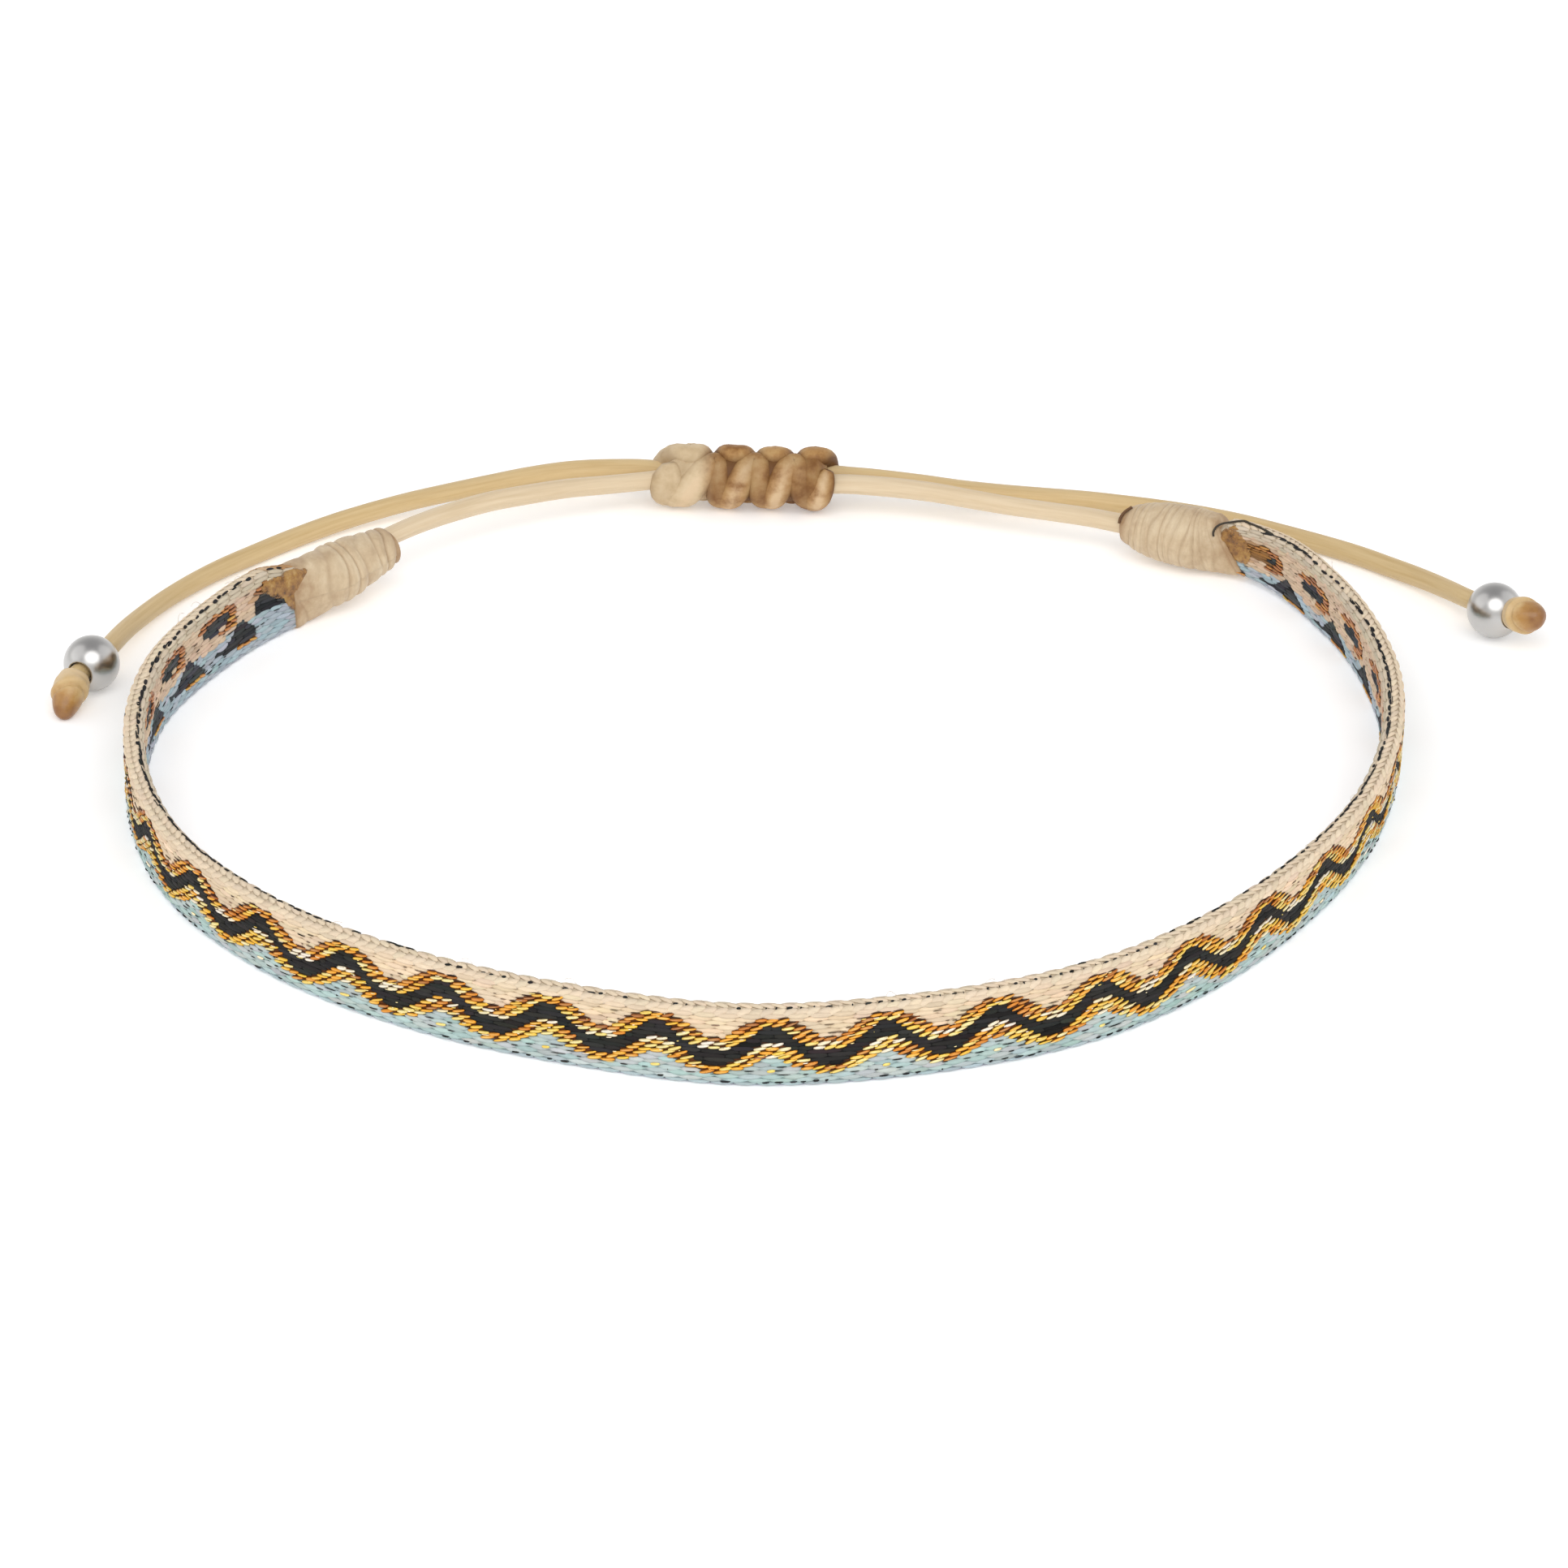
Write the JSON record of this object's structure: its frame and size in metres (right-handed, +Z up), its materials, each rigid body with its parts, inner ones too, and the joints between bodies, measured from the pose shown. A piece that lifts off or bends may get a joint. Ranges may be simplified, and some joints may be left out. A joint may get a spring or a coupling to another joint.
{
  "type": "friendship bracelet",
  "caption": "Flat woven friendship bracelet with a zigzag pattern, lying in a round loop, closed by waxed cords through a sliding knot, with metal end beads.",
  "frame": {"origin": "middle of the loop, seen from above, on the surface that the bracelet lies on, measured on the band, whippings and sliding knot", "axes": "+X along the loop's width, +Y from the front of the band to the sliding knot, +Z up"},
  "size_m": [0.0785, 0.0635, 0.0044],
  "materials": {
    "woven_band": "fine woven thread, cream, sand, metallic gold, black and pale blue",
    "wound_thread": "wound waxed thread",
    "knotted_cord": "wrapped waxed cord",
    "waxed_cord": "smooth waxed cord",
    "polished_bead": "polished",
    "sealed_cord_end": "heat-sealed waxed cord"
  },
  "bodies": {
    "root": {"woven_band": "woven_band", "left_whipping": "wound_thread", "right_whipping": "wound_thread", "sliding_knot": "knotted_cord", "left_cord": "waxed_cord", "right_cord": "waxed_cord", "left_bead": "polished_bead", "right_bead": "polished_bead", "left_end_knot": "sealed_cord_end", "right_end_knot": "sealed_cord_end"}
  },
  "joints": []
}
